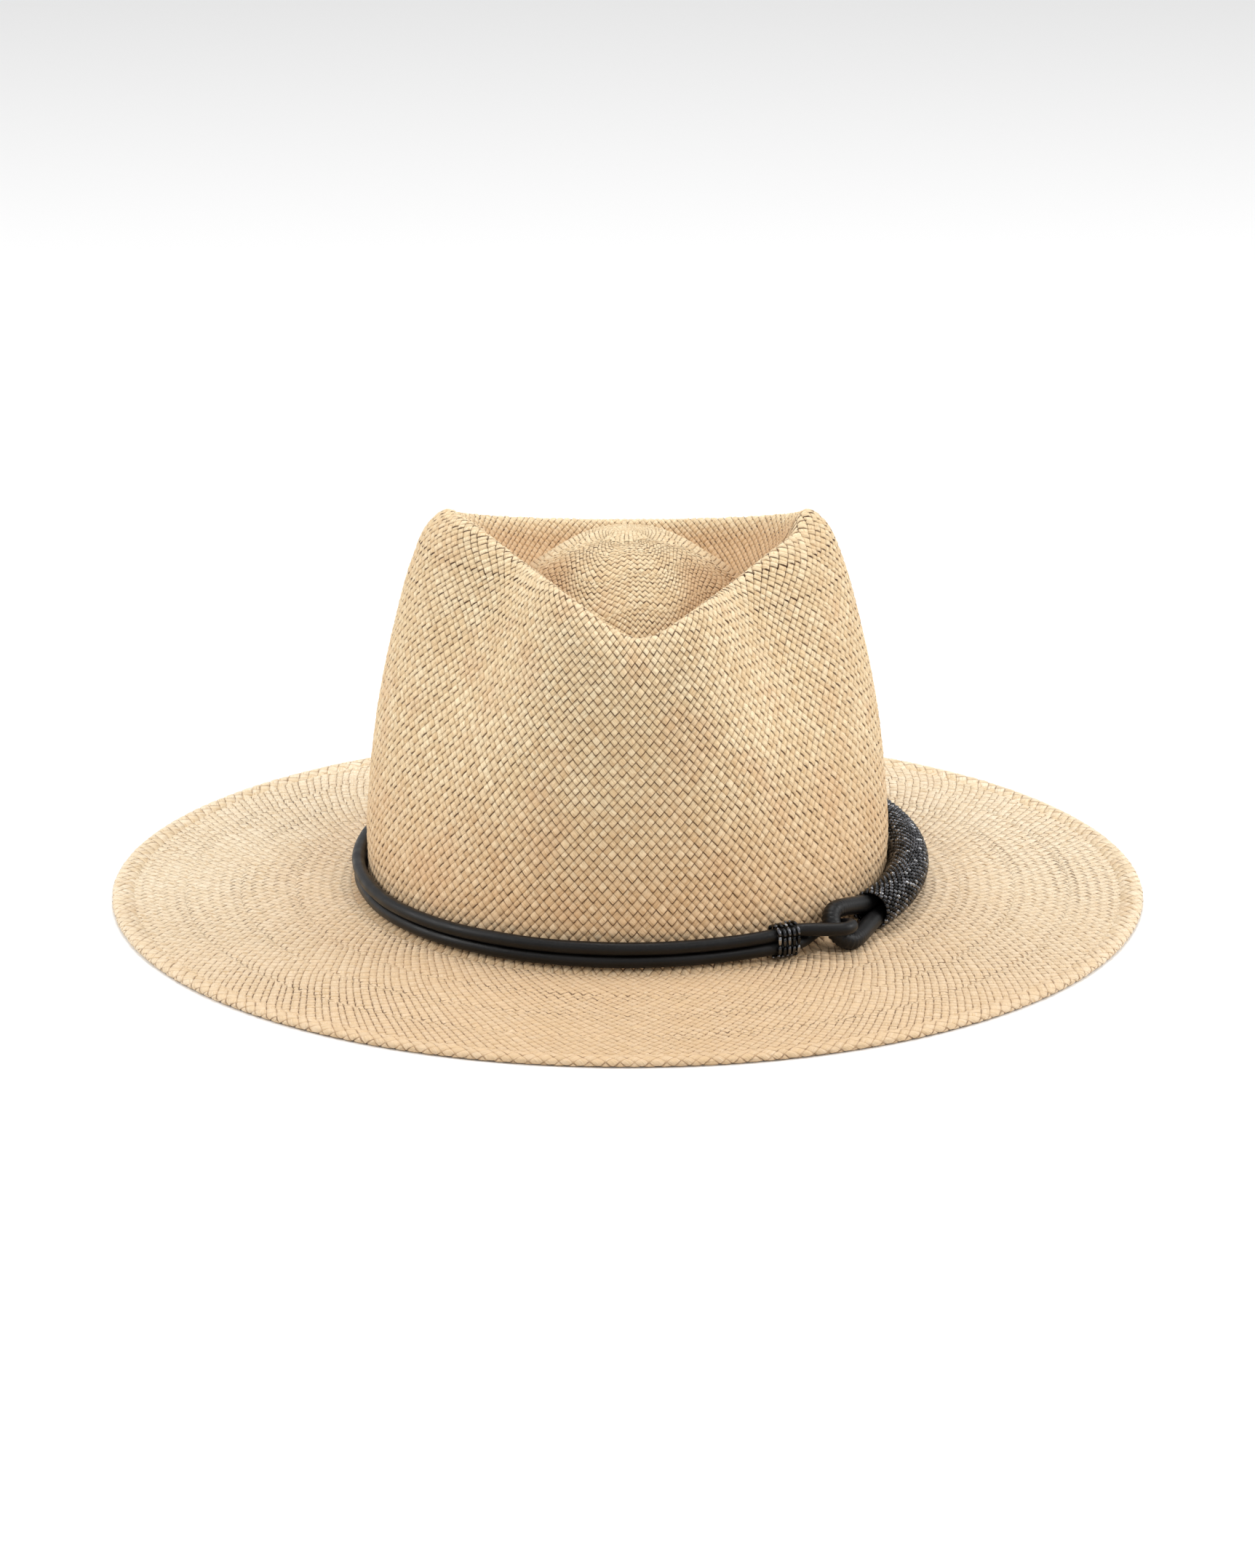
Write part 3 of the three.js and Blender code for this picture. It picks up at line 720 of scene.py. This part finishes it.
def band_axes(t, out, z, lean):
    """A point of the band and three axes: along it, outward at an angle of lean, and across both."""
    along = band_point(t + 0.5, out, z) - band_point(t - 0.5, out, z)
    along /= np.linalg.norm(along)
    level = np.cross(along, (0, 0, 1))
    level /= np.linalg.norm(level)
    lean = math.radians(lean)
    outward = level * math.cos(lean) + np.array([0, 0, math.sin(lean)])
    return band_point(t, out, z), along, outward, np.cross(outward, along)


def cord_run(side):
    ends = [[band_point(t + d, COLLAR["out"], COLLAR[side]) for d in COLLAR_ENDS] for t in COLLAR_T]
    return ends[0] + [band_point(t, *RUN[side]) for t in RUN_ANGLES] + ends[1]


def arc(degrees):
    return [(math.cos(math.radians(d)), math.sin(math.radians(d))) for d in degrees]


def cord_fold(t, toward):
    at, along, outward, _ = band_axes(t, LOOP_OUT, LOOP_Z, FOLD_LEAN)
    return [at + toward * FOLD_R * c * along + FOLD_OUT * s * outward
            for c, s in arc((100, 60, 20, -20, -60, -100))]


def cord_path():
    front, rear = cord_fold(LOOP_T[0], 1), cord_fold(LOOP_T[1], -1)[::-1]
    lower, upper = cord_run("lower"), cord_run("upper")[::-1]
    steps = [6] * len(front) + [20] * len(lower) + [6] * len(rear) + [20] * len(upper)
    return through(front + lower + rear + upper, steps, closed=True)


def loop_path():
    def eye(apex, toward):
        middle = apex + toward * LOOP_HALF / LOOP_MM_PER_DEGREE
        at, along, _, up = band_axes(middle, LOOP_OUT, LOOP_Z, LOOP_LEAN)
        return [at - toward * LOOP_HALF * c * along + LOOP_HALF * s * up
                for c, s in arc((80, 40, 0, -40, -80))]

    def leg(angles, sign):
        out = []
        for t in angles:
            at, _, _, up = band_axes(t, SLEEVE_NU, SLEEVE_Z, LOOP_LEAN)
            out.append(at + up * sign * (LOOP_R + GAP / 2))
        return out

    front, rear = eye(LOOP_T[0], 1), eye(LOOP_T[1], -1)[::-1]
    points = front + leg(LEG_ANGLES, -1) + rear + leg(LEG_ANGLES[::-1], 1)
    return through(points, [12] * len(points), closed=True)


def frames_along(path, closed):
    """Directions along a path and two rotation-minimising axes across them."""
    if closed:
        along = np.roll(path, -1, 0) - np.roll(path, 1, 0)
    else:
        along = np.gradient(path, axis=0)
    along /= np.linalg.norm(along, axis=1, keepdims=True)
    u = np.array([0.0, 0.0, 1.0])
    us = np.empty_like(path)
    for i, d in enumerate(along):
        u = u - d * (u @ d)
        u /= np.linalg.norm(u)
        us[i] = u
    if closed:
        v0 = np.cross(along[0], us[0])
        last = us[-1] - along[0] * (us[-1] @ along[0])
        twist = math.atan2(last @ v0, last @ us[0])
        turn = -twist * np.arange(len(path)) / len(path)
        vs = np.cross(along, us)
        us = us * np.cos(turn)[:, None] + vs * np.sin(turn)[:, None]
    return along, us, np.cross(along, us)


def tube_grid(path, radius, sides, closed):
    """Vertices (rings x sides) of a tube; radius is a number or an array rings x sides."""
    _, u, v = frames_along(path, closed)
    a = TAU * np.arange(sides) / sides
    radius = np.broadcast_to(np.asarray(radius, float), (len(path), sides))
    ring = u[:, None] * np.cos(a)[None, :, None] + v[:, None] * np.sin(a)[None, :, None]
    return path[:, None] + ring * radius[..., None]


def grid_uv(rings, sides, closed, step, girth):
    i = np.arange(rings if closed else rings - 1)[:, None] + np.zeros((1, sides))
    j = np.arange(sides)[None, :] + np.zeros((i.shape[0], 1))
    corners = ((i, j), (i, j + 1), (i + 1, j + 1), (i + 1, j))
    uv = [np.stack([ring * step, side / sides * girth], -1) for ring, side in corners]
    return np.stack(uv, 2).reshape(-1, 4, 2)


def tube_object(name, path, radius, sides, closed=True):
    grid = tube_grid(path, radius, sides, closed)
    rings = len(path)
    faces = [grid_faces(rings, sides, closed)]
    step = np.linalg.norm(np.diff(path, axis=0), axis=1).mean()
    uv = [grid_uv(rings, sides, closed, step, TAU * float(np.mean(radius)))]
    return to_object(name, grid.reshape(-1, 3), faces, uv)


def even(path, spacing, closed=True):
    """The path resampled at an even spacing in mm."""
    full = np.vstack([path, path[:1]]) if closed else path
    length = np.concatenate([[0], np.cumsum(np.linalg.norm(np.diff(full, axis=0), axis=1))])
    count = int(round(length[-1] / spacing))
    at = np.linspace(0, length[-1], count, endpoint=not closed)
    return np.stack([np.interp(at, length, full[:, c]) for c in range(3)], -1)


CORD_STEP, CORD_SIDES, CORD_WOBBLE = 1.1, 20, 0.05
LOOP_STEP, LOOP_SIDES = 0.45, 24
CREASE_PITCH, CREASE_DEPTH, CREASE_REACH = 1.25, 0.2, 8

cord_line = even(cord_path(), CORD_STEP)
round_cord = np.arange(CORD_SIDES) * TAU / CORD_SIDES
wobble = CORD_WOBBLE * np.sin(np.arange(len(cord_line)) * 0.21)[:, None] * np.sin(round_cord + 1.0)[None]
leather_cord = tube_object("leather_cord_run", cord_line, CORD_R + wobble, CORD_SIDES)

# The loop cord creases across where it bends.
loop_line = even(loop_path(), LOOP_STEP)
bend = np.roll(loop_line, -CREASE_REACH, 0) - 2 * loop_line + np.roll(loop_line, CREASE_REACH, 0)
bend = np.linalg.norm(bend, axis=1)
bend = np.clip(bend / bend.max() * 1.3, 0, 1)[:, None]
ridges = np.sin(np.arange(len(loop_line)) * LOOP_STEP / CREASE_PITCH * TAU)[:, None]
loop_radius = LOOP_R + 0.14 + CREASE_DEPTH * bend * ridges * np.ones((1, LOOP_SIDES))
loop_cord = tube_object("loop_cord_eyes", loop_line, loop_radius, LOOP_SIDES)
for piece, node in ((leather_cord, "leather_cord"), (loop_cord, "loop_cord")):
    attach(piece, "band")
    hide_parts(node)


# ---------------------------------------------------------------- leather
def leather_material():
    material, g, shader = new_material("black_leather")
    place = g.place()
    pores = g.ramp(g.cells(place, 1900.0), 0.0, 0.22)
    slow = g.noise(place, 160.0, 3.0)
    fine = g.noise(place, 2600.0, 2.0)
    colour = g.mix(g.ramp(slow, 0.35, 0.7), srgb(9, 8, 8), srgb(17, 16, 16))
    colour = g.mix(g.times(g.ramp(pores, 0.5, 0.0), 0.5), colour, srgb(6, 6, 6))
    g.link(colour, shader.inputs["Base Color"])
    g.link(g.ramp(slow, 0.3, 0.7, 0.33, 0.46), shader.inputs["Roughness"])
    shader.inputs["Specular IOR Level"].default_value = 0.26
    height = g.plus(g.times(pores, 0.7), g.times(fine, 0.5))
    g.link(g.bump(height, 0.35, 0.00008), shader.inputs["Normal"])
    return material


leather = leather_material()
leather_cord.data.materials.append(leather)
loop_cord.data.materials.append(leather)


# ---------------------------------------------------------------- beads
def bead_mesh(sides):
    """One barrel bead of unit radius and half length, its axis along Y: vertices, quads and end faces."""
    profile = [(-1.0, 0.45), (-0.8, 0.82), (-0.3, 1.0), (0.3, 1.0), (0.8, 0.82), (1.0, 0.45)]
    ring = TAU * np.arange(sides) / sides
    verts = np.array([(r * math.cos(a), y, r * math.sin(a)) for y, r in profile for a in ring])
    caps = np.stack([np.arange(sides)[::-1], np.arange(sides) + (len(profile) - 1) * sides])
    return verts, grid_faces(len(profile), sides, False), caps


def bead_string(name, places):
    """A mesh of beads. places holds (centre, axis, outward, radius, half length) for each bead."""
    verts, quads, caps, paint = [], [], [], []
    unit, q, c = bead_mesh(8)
    for i, (centre, axis, outward, radius, half) in enumerate(places):
        side = np.cross(axis, outward)
        matrix = np.stack([outward * radius, axis * half, side * radius])
        verts.append(unit @ matrix + centre)
        quads.append(q + i * len(unit))
        caps.append(c + i * len(unit))
        paint.append(np.tile(RNG.random(3), (len(unit), 1)))
    return to_object(name, np.concatenate(verts), [np.concatenate(quads), np.concatenate(caps)],
                     paint=np.concatenate(paint))


def sleeve_beads():
    """Rings of beads that lie round the sleeve, each ring turned a little past the one before."""
    axis_line = band_point(np.linspace(*SLEEVE_T, 400), SLEEVE_NU, SLEEVE_Z)
    length = np.linalg.norm(np.diff(axis_line, axis=0), axis=1).sum()
    line = even(axis_line, length / int(length / SLEEVE_PITCH), closed=False)
    along, u, v = frames_along(line, False)
    places = []
    for i, at in enumerate(line):
        for j in range(SLEEVE_AROUND):
            a = TAU * (j + 0.5 * (i % 2) + 0.04 * i) / SLEEVE_AROUND + RNG.normal(0, 0.012)
            out = u[i] * math.cos(a) + v[i] * math.sin(a)
            tangent = -u[i] * math.sin(a) + v[i] * math.cos(a)
            reach = SLEEVE_OUT - SLEEVE_DEPTH + RNG.normal(0, 0.02)
            centre = at + out * reach + along[i] * RNG.normal(0, 0.03)
            tangent = tangent + along[i] * RNG.normal(0.1, 0.04)
            tangent /= np.linalg.norm(tangent)
            places.append((centre, tangent, out, *SLEEVE_BEAD))
    return places


def collar_beads(t):
    """One row of a collar: beads strung round both cords."""
    at, along, outward, up = band_axes(t, COLLAR["out"], (COLLAR["upper"] + COLLAR["lower"]) / 2, 0)
    reach, half = CORD_R + GAP + BEAD_R - 0.1, (COLLAR["upper"] - COLLAR["lower"]) / 2
    a = np.linspace(-math.pi / 2, math.pi / 2, 40)
    top = np.stack([-reach * np.sin(a), half + reach * np.cos(a)], -1)
    ring = np.vstack([top, -top])
    full = np.vstack([ring, ring[:1]])
    length = np.concatenate([[0], np.cumsum(np.linalg.norm(np.diff(full, axis=0), axis=1))])
    total = length[-1]
    offset = total * RNG.uniform(-0.02, 0.02)
    places = []
    for i in range(COLLAR_BEADS):
        s = (offset + (i + 0.5) * total / COLLAR_BEADS) % total
        here, ahead = (np.array([np.interp(x % total, length, full[:, c]) for c in range(2)])
                       for x in (s, s + 0.4))
        centre = at + outward * here[0] + up * here[1]
        axis = outward * (ahead - here)[0] + up * (ahead - here)[1]
        axis /= np.linalg.norm(axis)
        places.append((centre, axis, np.cross(axis, along), BEAD_R, total / COLLAR_BEADS * 0.47))
    return places


sleeve = bead_string("sleeve_beads", sleeve_beads())
backing_line = even(band_point(np.linspace(*SLEEVE_T, 200), SLEEVE_NU, SLEEVE_Z), 0.8, closed=False)
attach(sleeve, "band")
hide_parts("bead_sleeve")
backing = tube_object("sleeve_backing", backing_line, SLEEVE_OUT - 1.15, 32, closed=False)
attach(backing, "band")
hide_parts("bead_sleeve")
backing.data.materials.append(leather)

bead_rows = [sleeve]
for place, middle in zip(("front", "rear"), COLLAR_T):
    for row in range(COLLAR_ROWS):
        t_row = middle + (row - (COLLAR_ROWS - 1) / 2) * COLLAR_PITCH / MM_PER_DEGREE
        beads = bead_string(f"{place}_collar_beads_{row + 1}", collar_beads(t_row))
        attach(beads, "band")
        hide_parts(f"{place}_collar_row_{row + 1}")
        bead_rows.append(beads)


def bead_material():
    material, g, shader = new_material("hematite_beads")
    paint = g.separate(g.node("ShaderNodeAttribute", attribute_name="paint").outputs["Color"])
    colour = g.mix(g.ramp(paint[0], 0.2, 0.9), srgb(46, 46, 47), srgb(92, 92, 95))
    colour = g.mix(g.times(g.ramp(paint[1], 0.8, 0.96), 0.7), colour, srgb(160, 160, 162))
    g.link(colour, shader.inputs["Base Color"])
    g.link(g.ramp(paint[2], 0.0, 1.0, 0.09, 0.17), shader.inputs["Roughness"])
    shader.inputs["Specular IOR Level"].default_value = 0.5
    shader.inputs["Metallic"].default_value = 1.0
    return material


beads_black = bead_material()
for piece in bead_rows:
    piece.data.materials.append(beads_black)

# ---------------------------------------------------------------- sweatband, its piping, stitches and bow
def inner_ring(inset, z, dent, t):
    x, y = plan(*(reach - inset for reach in BASE), dent, t)
    return np.stack([x, y, np.broadcast_to(z, np.shape(x))], -1)


def ring_object(name, section, around=480):
    """A closed ring of a section of (inset, z, dent) points inside the crown."""
    t = np.arange(around) * TAU / around
    grid = np.stack([inner_ring(*point, t) for point in section], 1)
    sides = len(section)
    return to_object(name, grid.reshape(-1, 3), [grid_faces(around, sides, True)],
                     [grid_uv(around, sides, True, 580 / around, sides)])


def between(points, count):
    share = np.linspace(0, 1, len(points))
    columns = np.transpose(points)
    return [tuple(np.interp(x, share, column) for column in columns) for x in np.linspace(0, 1, count)]


FACE = [(1.8, 7.1, -1.2), (1.9, 18, 0), (4.4, 33.9, 2.2)]
wall_side = between(FACE, 14)
head_side = [(inset + 0.95, z, dent) for inset, z, dent in wall_side][::-1]
fold = [(2.65, 6.95, -1.2), (2.28, 6.85, -1.2), (1.9, 6.95, -1.2)]
sweatband = ring_object("sweatband_leather", wall_side + [(4.9, 34.15, 2.2)] + head_side + fold)
reed = ring_object("sweatband_piping", [(2.6 + 0.8 * math.cos(a), 5.75 + 0.8 * math.sin(a), -1.2)
                                        for a in TAU * np.arange(12) / 12])


def stitches(name, count):
    """A row of short stitches along the foot of the sweatband."""
    sink, sides, thread_r = (0.35, 0.08, 0, 0, 0, 0.08, 0.35), 6, 0.3
    rings = len(sink)
    verts, quads, uv = [], [], []
    for i in range(count):
        t = TAU * (i + np.linspace(0.12, 0.88, rings)) / count
        line = np.stack([inner_ring(2.85 + 0.18 - d, 10.0 + 0.18 * k, -1.1, np.array([a]))[0]
                         for a, d, k in zip(t, sink, np.linspace(-1, 1, rings))])
        grid = tube_grid(line, thread_r, sides, False)
        quads.append(grid_faces(rings, sides, False) + rings * sides * i)
        verts.append(grid.reshape(-1, 3))
        uv.append(grid_uv(rings, sides, False, 0.5, 2))
    return to_object(name, np.concatenate(verts), [np.concatenate(quads)], [np.concatenate(uv)])


def ribbon_bow(name):
    """Two ribbon loops pinched by a knot, flat against the sweatband's back."""
    verts, quads, count = [], [], 0
    wall_y, z0 = BASE[2] - 5.85, 22.0
    rings, across = 15, 13
    for side in (-1, 1):
        u, v = np.meshgrid(np.linspace(0, 1, rings), np.linspace(-1, 1, across), indexing="ij")
        half = 1.5 + 2.7 * np.sin(np.clip(u * 1.25, 0, 1) * math.pi / 2) * np.sqrt(np.clip(1.02 - u**6, 0, 1))
        x = side * (1.2 + 11.0 * u - 0.5 * v**2 * u)
        z = z0 + v * half
        puff = 0.2 + 0.75 * np.sqrt(np.clip(1 - v**2, 0, 1)) * np.sin(np.clip(u * 0.9 + 0.12, 0, 1) * math.pi)
        pleat = 0.16 * np.cos(v * 9) * (1 - u) ** 2
        front = np.stack([x, wall_y - np.clip(puff + pleat, 0.1, 1.15), z], -1)
        back = np.stack([x, np.full_like(x, wall_y - 0.02), z], -1)
        sheet = np.concatenate([front, back[:, ::-1]], 1)
        verts.append(sheet.reshape(-1, 3))
        faces = grid_faces(rings, 2 * across, False)
        quads.append((faces if side > 0 else faces[:, ::-1]) + count)
        count += rings * 2 * across
    a = TAU * np.arange(16) / 16
    profile = ((-2.6, 0.4), (-2.3, 0.9), (-1, 1.05), (0, 1), (1, 1.05), (2.3, 0.9), (2.6, 0.4))
    knot = np.stack([np.stack([1.9 * np.cos(a) * w, wall_y - 0.6 + 0.62 * np.sin(a) * w,
                               np.full(len(a), z0 + h)], -1) for h, w in profile])
    quads.append(grid_faces(len(profile), len(a), False) + count)
    verts.append(knot.reshape(-1, 3))
    return to_object(name, np.concatenate(verts), [np.concatenate(quads)])


thread = stitches("sweatband_stitches", 150)
bow = ribbon_bow("sweatband_ribbon_bow")


def leather_tan():
    material, g, shader = new_material("tan_leather")
    place = g.place()
    cells = g.ramp(g.cells(place, 1100.0), 0.0, 0.3)
    cloud = g.noise(place, 45.0, 4.0)
    fine = g.noise(place, 700.0, 3.0)
    colour = g.mix(g.ramp(cloud, 0.3, 0.7), srgb(150, 104, 62), srgb(182, 136, 88))
    colour = g.mix(g.ramp(fine, 0.45, 0.7, 0.0, 0.4), colour, srgb(132, 88, 50))
    colour = g.mix(g.ramp(cells, 0.6, 0.0, 0.0, 0.45), colour, srgb(104, 66, 36))
    g.link(colour, shader.inputs["Base Color"])
    g.link(g.ramp(cloud, 0.3, 0.7, 0.48, 0.62), shader.inputs["Roughness"])
    g.link(g.bump(g.plus(cells, fine), 0.4, 0.00012), shader.inputs["Normal"])
    return material


def cloth(name, dark, light, scale):
    """Woven thread or ribbon: fine crossed ribs."""
    material, g, shader = new_material(name)
    place = g.place()
    x, y, z = g.separate(place)
    rib = g.math("SINE", g.times(g.plus(x, g.times(y, 0.4)), scale))
    cross_ = g.math("SINE", g.times(z, scale * 0.45))
    height = g.plus(rib, g.times(cross_, 0.4))
    fuzz = g.noise(place, 900.0, 3.0)
    colour = g.mix(g.ramp(height, -1.2, 1.2), srgb(*dark), srgb(*light))
    colour = g.mix(g.ramp(fuzz, 0.4, 0.7, 0.0, 0.35), colour, srgb(*dark))
    g.link(colour, shader.inputs["Base Color"])
    shader.inputs["Roughness"].default_value = 0.75
    shader.inputs["Sheen Weight"].default_value = 0.3
    g.link(g.bump(g.plus(height, fuzz), 0.5, 0.00015), shader.inputs["Normal"])
    return material


tan_leather = leather_tan()
piping_cloth = cloth("piping_cloth", (128, 90, 52), (176, 134, 86), 4200.0)
cotton_thread = cloth("cotton_thread", (206, 188, 152), (240, 228, 202), 9000.0)
bow_ribbon = cloth("bow_ribbon", (92, 66, 40), (146, 110, 70), 7000.0)
for piece, node, slot, material in ((sweatband, "sweatband", "sweatband", tan_leather),
                                    (reed, "sweatband_reed", "reed", piping_cloth),
                                    (thread, "sweatband_thread", "thread", cotton_thread),
                                    (bow, "sweatband_bow", "bow", bow_ribbon)):
    piece.data.materials.append(material)
    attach(piece, "hat")
    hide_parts(node)

# ---------------------------------------------------------------- stage, light, camera
floor_mesh = bpy.data.meshes.new("floor")
FLOOR = 4.0
floor_mesh.from_pydata([(x * FLOOR, y * FLOOR, 0) for x, y in ((-1, -1), (1, -1), (1, 1), (-1, 1))],
                       [], [(0, 1, 2, 3)])
floor = bpy.data.objects.new("floor", floor_mesh)
bpy.context.scene.collection.objects.link(floor)
floor_material, _, floor_shader = new_material("pale_floor")
floor_shader.inputs["Base Color"].default_value = (0.86, 0.86, 0.86, 1)
floor_shader.inputs["Roughness"].default_value = 0.9
floor_mesh.materials.append(floor_material)

scene = bpy.context.scene
scene.view_settings.view_transform = "Standard"
world = bpy.data.worlds.new("studio")
scene.world = world
world.use_nodes = True
world.node_tree.nodes["Background"].inputs[0].default_value = (1, 1, 1, 1)
world.node_tree.nodes["Background"].inputs[1].default_value = 0.57


def area_light(name, place, target, size, power):
    light = bpy.data.lights.new(name, "AREA")
    light.shape = "RECTANGLE"
    light.size, light.size_y = size
    light.energy = power
    obj = bpy.data.objects.new(name, light)
    obj.location = place
    direction = Vector(target) - Vector(place)
    obj.rotation_euler = direction.to_track_quat("-Z", "Y").to_euler()
    scene.collection.objects.link(obj)


HAT_MIDDLE, BAND_KNOT = (0, 0, 0.05), (0.04, -0.05, 0.02)
for name, place, size, power in (("left_softbox", (-1.6, 0.1, 1.0), (1.0, 1.0), 14),
                                 ("right_softbox", (1.6, 0.1, 1.0), (1.0, 1.0), 14),
                                 ("top_softbox", (0, 0.3, 1.9), (0.8, 0.6), 13),
                                 ("front_fill", (0.3, -1.9, 1.0), (1.4, 0.6), 1.5)):
    area_light(name, place, HAT_MIDDLE, size, power)
for i, place in enumerate(((0.9, -1.3, 1.7), (-0.8, -1.4, 1.6), (1.9, -0.5, 1.2))):
    area_light(f"sparkle_{i + 1}", place, BAND_KNOT, (0.13, 0.13), 3.6)

CAMERA_UP, CAMERA_FAR, AIM_Z = math.radians(16.5), 2.5, 0.035
SENSOR, FRAME_HEIGHT, PIXELS_PER_MM, SHIFT_PIXELS = 36, 2156, 4.276, 4.1
camera_data = bpy.data.cameras.new("camera")
camera_data.sensor_width = SENSOR
camera_data.lens = SENSOR * PIXELS_PER_MM * CAMERA_FAR / MM / FRAME_HEIGHT
camera_data.shift_y = SHIFT_PIXELS / FRAME_HEIGHT
camera = bpy.data.objects.new("camera", camera_data)
camera.location = (0, HEAD_SHIFT * MM - CAMERA_FAR * math.cos(CAMERA_UP),
                   AIM_Z + CAMERA_FAR * math.sin(CAMERA_UP))
camera.rotation_euler = (math.pi / 2 - CAMERA_UP, 0, 0)
scene.collection.objects.link(camera)
scene.camera = camera
